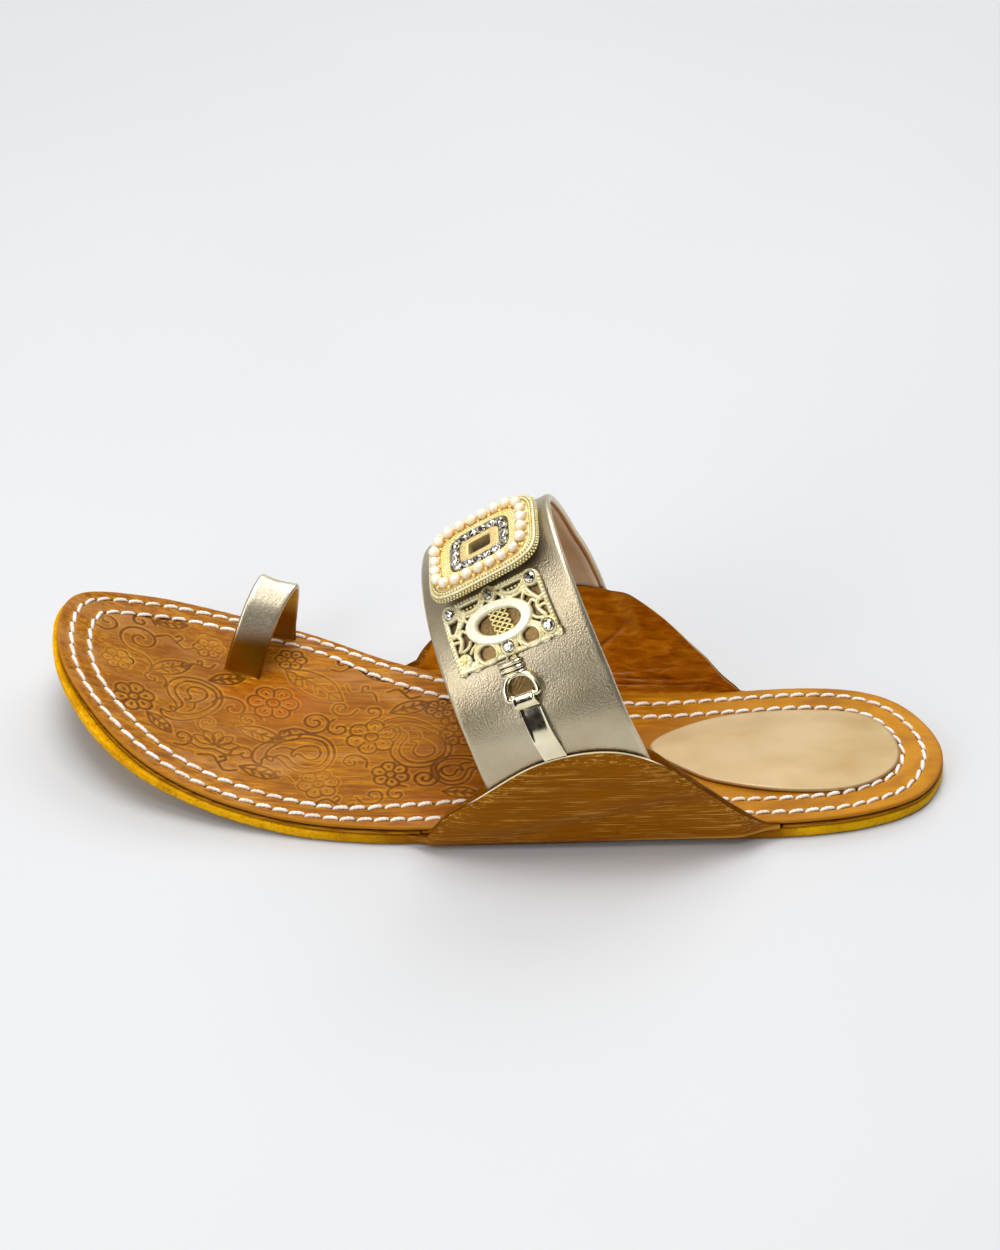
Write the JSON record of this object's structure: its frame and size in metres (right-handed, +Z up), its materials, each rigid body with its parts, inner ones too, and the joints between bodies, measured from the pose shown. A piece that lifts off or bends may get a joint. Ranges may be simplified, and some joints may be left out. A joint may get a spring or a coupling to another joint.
{
  "type": "kolhapuri chappal",
  "caption": "Flat leather chappal with an embossed footbed, curved side ears, a wide metallic instep strap carrying jewelled gold trim, a heel pad and a toe loop.",
  "frame": {"origin": "bottom centre of the bounding box, on the floor the sole stands on", "axes": "+X towards the heel, +Y towards the wearer's inner (medial) side, +Z up"},
  "size_m": [0.2604, 0.104, 0.0952],
  "materials": {
    "outsole_leather": "bright tan cut edge, rough underside",
    "midsole_leather": "dark brown edge",
    "insole_leather": "polished tan, embossed, off-white stitching",
    "pad_gold": "soft champagne, satin",
    "ear_outer": "dark brown, brushed",
    "ear_inner": "tan, smooth",
    "strap_champagne": "champagne metallic, fine grain",
    "trim_gold": "polished pale gold"
  },
  "bodies": {
    "root": {"outsole": "outsole_leather", "midsole": "midsole_leather", "insole": "insole_leather", "heel_pad": "pad_gold", "ear_inner_lateral": "ear_inner", "ear_inner_medial": "ear_inner", "ear_outer_lateral": "ear_outer", "ear_outer_medial": "ear_outer", "instep_strap": "strap_champagne", "toe_loop": "strap_champagne", "brooch": "trim_gold", "plaque_lateral": "trim_gold", "plaque_medial": "trim_gold", "connector_lateral": "trim_gold", "connector_medial": "trim_gold", "d_ring_lateral": "trim_gold", "d_ring_medial": "trim_gold", "metal_ribbon_lateral": "trim_gold", "metal_ribbon_medial": "trim_gold"}
  },
  "joints": []
}
